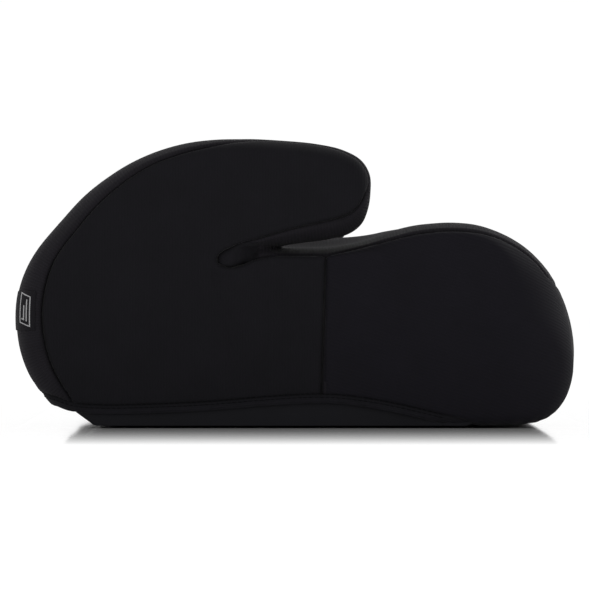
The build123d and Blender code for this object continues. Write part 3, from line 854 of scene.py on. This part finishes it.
steel = moulded("steel", grey(0.35), grey(0.45), 0.3, 900.0, 0.01)
steel.node_tree.nodes["Principled BSDF"].inputs["Metallic"].default_value = 1.0

PANEL_CLOTH = {
    "cover_side": (side_cloth, "side_knit"), "cover_armrest_inner": (side_cloth, "side_knit"),
    "cover_front_wrap": (front_cloth, "side_knit"), "cover_seat_top": (rib_cloth, "ribbed_knit"),
    "cover_armrest_band": (rib_cloth, "ribbed_knit"), "cover_back": (side_cloth, "side_knit"),
    "slot_gusset": (side_cloth, "side_knit"), "hem_elastic": (hem_cloth, "elastic"),
}
# The foam lies unseen inside these panels.
ALSO_STANDS_FOR = {
    "cover_seat_top": ["seat_foam"], "cover_armrest_inner_left": ["armrest_foam_left"],
    "cover_armrest_inner_right": ["armrest_foam_right"],
}
for full, obj in panels.items():
    cloth, slot_name = PANEL_CLOTH[full.replace("_left", "").replace("_right", "")]
    obj.data.materials.append(cloth)
    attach(obj, "root")
    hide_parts(full, *ALSO_STANDS_FOR.get(full, []))

# ---------------------------------------------------------------- label and hem stitching
CORNER, CORNER_R = (-178.0, -172.5), 28.0   # rear corner of the right armrest, from above
PATCH = (84.0, 118.0)                       # label, in millimetres round the corner
PATCH_Z = (69.3, 97.3)


def corner_patch(across, up, lift, slant=0.0, from_a=0.0):
    """Grid of points on the rear corner of the right armrest, at millimetres round the corner
    and heights above the floor, lifted off the cloth. Returns points, quads and cloth map."""
    a, z = np.meshgrid(np.linspace(*across, max(3, int(abs(across[1] - across[0]) / 1.2) + 2)),
                       np.linspace(*up, max(3, int(abs(up[1] - up[0]) / 1.5) + 2)), indexing="ij")
    z = z - slant * (a - from_a)
    turn = a / CORNER_R
    start_r = CORNER_R + 6
    p = np.stack([CORNER[0] + start_r * np.cos(turn), CORNER[1] + start_r * np.sin(turn), z], -1)
    p = p.reshape(-1, 3)
    for _ in range(6):
        p = onto_surface(cover_field, p, 1)
        p[:, 2] = z.ravel()
    normal = gradient(cover_field, p)
    normal /= np.linalg.norm(normal, axis=1)[:, None]
    rows, columns = a.shape
    grid = np.arange(rows * columns).reshape(rows, columns)
    quads = np.stack([grid[:-1, :-1], grid[1:, :-1], grid[1:, 1:], grid[:-1, 1:]], -1).reshape(-1, 4)
    return p + normal * lift, quads, (a.ravel(), z.ravel())


def joined(parts):
    """Several patches as one set of points, faces and cloth map."""
    points, faces, uv, count = [], [], [[], []], 0
    for p, f, (u, v) in parts:
        faces.append(f + count)
        points.append(p)
        uv[0].append(u)
        uv[1].append(v)
        count += len(p)
    return np.vstack(points), np.vstack(faces), (np.concatenate(uv[0]), np.concatenate(uv[1]))


label = make_object("label.patch", *joined([corner_patch(PATCH, PATCH_Z, 0.7)]))
# Plain woven border with three plain strokes in it.
a0, a1, z0, z1 = 103.2, PATCH[1] - 4, PATCH_Z[0] + 5.7, PATCH_Z[1] - 0.7
strokes = [((a0, a1), (z0, z0 + 0.8)), ((a0, a1), (z1 - 0.8, z1)), ((a0, a0 + 0.9), (z0, z1)),
           ((a1 - 0.9, a1), (z0, z1)), ((a1 - 3.9, a1 - 2.9), (z0 + 3, z1 - 3)),
           ((a1 - 6.6, a1 - 5.6), (z0 + 3, z1 - 8)), ((a0 + 2.4, a1 - 5.6), (z0 + 3, z0 + 4))]
silver = make_object("label.border", *joined([corner_patch(a, z, 0.85, 0.31, a0) for a, z in strokes]))
thicken(label, 0.6)
thicken(silver, 0.2)


def hem_path(above):
    """Points along the hem of one half, a set distance above its lower edge."""
    side = [(x, -199.0) for x in np.arange(98, -178, -1.0)]
    turn = [(-178 + 27 * math.cos(a), -173 + 27 * math.sin(a))
            for a in np.linspace(-math.pi / 2, -math.pi, 42)]
    back = [(-199.0, y) for y in np.arange(-172, -0.5, 1.0)]
    p = np.array([(x, y, 16.0) for x, y in side + turn + back])
    for _ in range(8):
        p = onto_surface(cover_field, p, 1)
        p[:, 2] += (above - hem_level(p)).clip(-4, 4)
    p = onto_surface(cover_field, p, 1)
    normal = gradient(cover_field, p)
    normal /= np.linalg.norm(normal, axis=1)[:, None]
    return p + normal * (relief(p)[0][:, None] + 0.1)


def stitch_row(path, length, pitch, radius):
    """Short rounded threads lying end to end along a path."""
    run = np.concatenate([[0], np.cumsum(np.linalg.norm(np.diff(path, axis=0), axis=1))])
    middle_at = np.arange(pitch / 2, run[-1] - pitch / 2, pitch)
    at = [np.stack([np.interp(middle_at + d, run, path[:, i]) for i in range(3)], 1)
          for d in (-length / 2, length / 2)]
    axis = at[1] - at[0]
    long = np.linalg.norm(axis, axis=1)[:, None]
    axis /= long
    side = np.cross(axis, (0.0, 0.0, 1.0))
    side /= np.linalg.norm(side, axis=1)[:, None]
    up = np.cross(side, axis)
    rings = ((-0.5, 0.25), (-0.42, 0.8), (0.0, 1.0), (0.42, 0.8), (0.5, 0.25))
    sides = 6
    points = []
    for place, wide in rings:
        centre = (at[0] + at[1]) / 2 + axis * long * place
        for k in range(sides):
            turn = 2 * math.pi * k / sides
            points.append(centre + radius * wide * (math.cos(turn) * side + math.sin(turn) * up))
    points = np.stack(points, 1)
    faces = []
    for r in range(len(rings) - 1):
        for k in range(sides):
            q = (k + 1) % sides
            faces.append([r * sides + k, r * sides + q, (r + 1) * sides + q, (r + 1) * sides + k])
    faces.append([sides - 1 - k for k in range(sides)])
    faces.append([(len(rings) - 1) * sides + k for k in range(sides)])
    each = len(rings) * sides
    faces = [[v + each * m for v in f] for m in range(len(middle_at)) for f in faces]
    return points.reshape(-1, 3), faces


thread_points, thread_faces = [], []
for above in (HEM_W - 2.0, HEM_W + 0.2):
    path = hem_path(above)
    for flip in (1, -1):
        p, f = stitch_row(path * (1, flip, 1), 2.9, 3.9, 0.32)
        thread_faces += [[v + sum(map(len, thread_points)) for v in face] for face in f]
        thread_points.append(p)
threads = make_object("hem_stitches", np.vstack(thread_points), thread_faces)

TRIM = ((label, label_cloth, "label_satin"), (silver, silver_thread, "label_satin"),
        (threads, black_thread, "elastic"))
for obj, finish, slot_name in TRIM:
    obj.data.materials.append(finish)
    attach(obj, "root")
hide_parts("label")

CAD_FINISH = {
    "base_tray": tray_plastic, "seat_shell": shell_plastic, "anti_slip_pads": pad_rubber,
    "cover_rivets": rivet_plastic, "base_screws": steel, "armrest_screws": steel,
    "armrest_bolts": steel, "armrest_inner_shell_left": shell_plastic,
    "armrest_inner_shell_right": shell_plastic, "armrest_outer_shell_left": shell_plastic,
    "armrest_outer_shell_right": shell_plastic,
}
for name, material in CAD_FINISH.items():
    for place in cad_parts[name].material_slots:
        place.material = material

# ---------------------------------------------------------------- studio
def softbox(name, place, size, power, target=(0, 0, 0.08)):
    """Rectangular area light turned to the middle of the seat."""
    lamp = bpy.data.lights.new(name, "AREA")
    lamp.shape, lamp.size, lamp.size_y, lamp.energy = "RECTANGLE", size[0], size[1], power
    obj = bpy.data.objects.new(name, lamp)
    obj.location = place
    obj.rotation_euler = (Vector(target) - Vector(place)).to_track_quat("-Z", "Y").to_euler()
    bpy.context.collection.objects.link(obj)


# Soft light from above and in front, and a little from behind to draw the edges.
softbox("top", (-0.1, 0.1, 1.9), (1.8, 1.4), 4.5)
softbox("rim", (0.9, 1.3, 1.0), (1.2, 1.2), 0.6)
softbox("rim_rear", (-1.2, 0.9, 0.9), (1.0, 1.2), 3)
softbox("front", (-0.4, -2.4, 0.6), (1.8, 1.0), 4.5)
softbox("low_right", (1.7, -1.1, 0.4), (0.8, 0.5), 2.2)

# The room is bright behind the seat and half as bright elsewhere; its walls look white.
world = bpy.data.worlds.new("studio")
world.use_nodes = True
tree = world.node_tree
direction = node(tree, "TexCoord").outputs["Generated"]
ahead = node(tree, "SeparateXYZ", {"Vector": direction}).outputs[1]
shade = node(tree, "MapRange", {0: ahead, 1: 0.5, 2: 0.98, 3: 0.48, 4: 1.02},
             interpolation_type="SMOOTHSTEP")
seen = calc(tree, "MULTIPLY", node(tree, "LightPath").outputs["Is Camera Ray"], 1.02)
brightness = calc(tree, "MAXIMUM", shade.outputs[0], seen)
tree.links.new(brightness, tree.nodes["Background"].inputs["Strength"])
tree.nodes["Background"].inputs["Color"].default_value = (1, 1, 1, 1)
bpy.context.scene.world = world

# White floor, glossy near the seat and plain further out.
FLOOR, FLOOR_Z = 9000.0, -0.2
floor = make_object("floor", [(-FLOOR, -FLOOR, FLOOR_Z), (FLOOR, -FLOOR, FLOOR_Z),
                              (FLOOR, FLOOR, FLOOR_Z), (-FLOOR, FLOOR, FLOOR_Z)],
                    [(0, 1, 2, 3)], smooth=False)
material, tree, shader = new_material("floor")
place = node(tree, "SeparateXYZ", {"Vector": node(tree, "TexCoord").outputs["Object"]})
# Metres outside the seat's footprint; the gloss fades over this, and is full under the tray.
off_x = calc(tree, "SUBTRACT", calc(tree, "ABSOLUTE", place.outputs[0]), 0.205)
off_y = calc(tree, "SUBTRACT", calc(tree, "ABSOLUTE", place.outputs[1]), 0.198)
off = calc(tree, "MAXIMUM", calc(tree, "MAXIMUM", off_x, off_y), 0.0)
fade = calc(tree, "POWER", calc(tree, "DIVIDE", off, 0.222), 1.9)
fade = calc(tree, "MAXIMUM", calc(tree, "MULTIPLY_ADD", fade, -0.93, 0.93), 0.0)
beneath = calc(tree, "SUBTRACT", 1.0, calc(tree, "MINIMUM", calc(tree, "DIVIDE", off, 0.003), 1.0))
fade = calc(tree, "MULTIPLY_ADD", beneath, 0.07, fade)
fresnel = node(tree, "Fresnel", {"IOR": 1.5}).outputs[0]
gloss = node(tree, "BsdfGlossy", {"Color": (1, 1, 1, 1), "Roughness": 0.06})
glow = node(tree, "Emission", {"Color": (1, 1, 1, 1), "Strength": 0.8})
faint = node(tree, "BsdfDiffuse", {"Color": (0.4, 0.4, 0.4, 1)})
matt = node(tree, "BsdfDiffuse", {"Color": (0.8, 0.8, 0.8, 1)})
plain = node(tree, "AddShader", {0: glow.outputs[0], 1: faint.outputs[0]})
mirror_share = calc(tree, "MINIMUM", calc(tree, "MULTIPLY", fresnel, 1.25), 0.97)
near = node(tree, "MixShader", {0: mirror_share, 1: matt.outputs[0], 2: gloss.outputs[0]})
whole = node(tree, "MixShader", {0: fade, 1: plain.outputs[0], 2: near.outputs[0]})
tree.links.new(whole.outputs[0], tree.nodes["Material Output"].inputs["Surface"])
floor.data.materials.append(material)

# Level side view from the child's right, about two metres away.
lens = bpy.data.cameras.new("camera")
lens.lens, lens.sensor_width, lens.shift_x, lens.clip_end = 167.6, 36, 0.0706, 100
camera = bpy.data.objects.new("camera", lens)
camera.location = (-0.037, -2.15, 0.0945)
camera.rotation_euler = (math.pi / 2, 0, 0)
bpy.context.collection.objects.link(camera)
bpy.context.scene.camera = camera
bpy.context.scene.view_settings.view_transform = "Standard"
